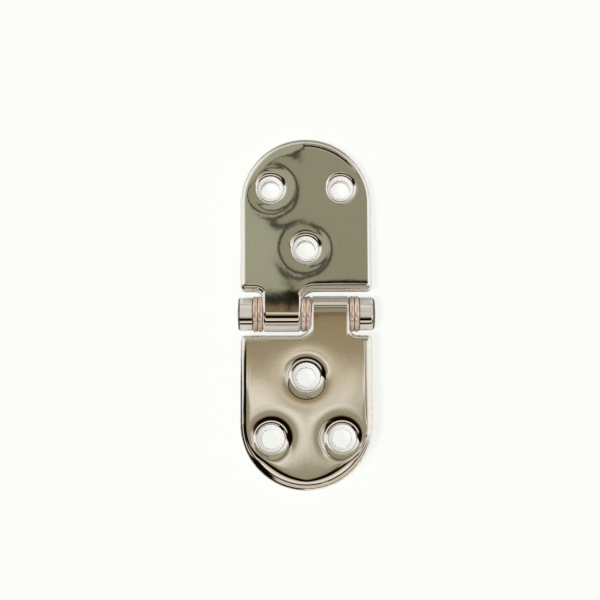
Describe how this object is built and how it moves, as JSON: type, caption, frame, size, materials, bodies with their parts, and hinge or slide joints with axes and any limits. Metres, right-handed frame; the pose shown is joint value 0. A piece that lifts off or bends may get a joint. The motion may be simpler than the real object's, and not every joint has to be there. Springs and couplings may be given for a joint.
{
  "type": "friction hinge",
  "caption": "Round-ended cast leaf hinge with countersunk screw holes, an offset knuckle pivot and bronze friction washers clamped by an adjusting screw.",
  "frame": {"origin": "middle of the pivot axis, which is also the centre of the box round the open hinge", "axes": "+Y along the fixed leaf, away from the pivot; +Z out of the polished faces; +X along the pivot towards the screw head"},
  "size_m": [0.04, 0.102, 0.0104],
  "materials": {
    "stainless": "hand-polished cast stainless steel, mirror bright with a slight waviness",
    "bronze": "turned bronze, satin"
  },
  "bodies": {
    "fixed": {"fixed_leaf": "stainless", "barrel_nut": "stainless", "pivot_screw": "stainless", "washer_nut_outer": "bronze", "washer_nut_inner": "bronze", "washer_middle_fixed": "bronze", "washer_screw_outer": "bronze"},
    "swing": {"swing_leaf": "stainless", "washer_middle_swing": "bronze", "washer_screw_inner": "bronze"}
  },
  "joints": [
    {"name": "pivot", "type": "hinge", "parent": "fixed", "child": "swing", "pos_m": [0, 0, 0], "axis": [1, 0, 0], "range_deg": [-105, 162]}
  ]
}
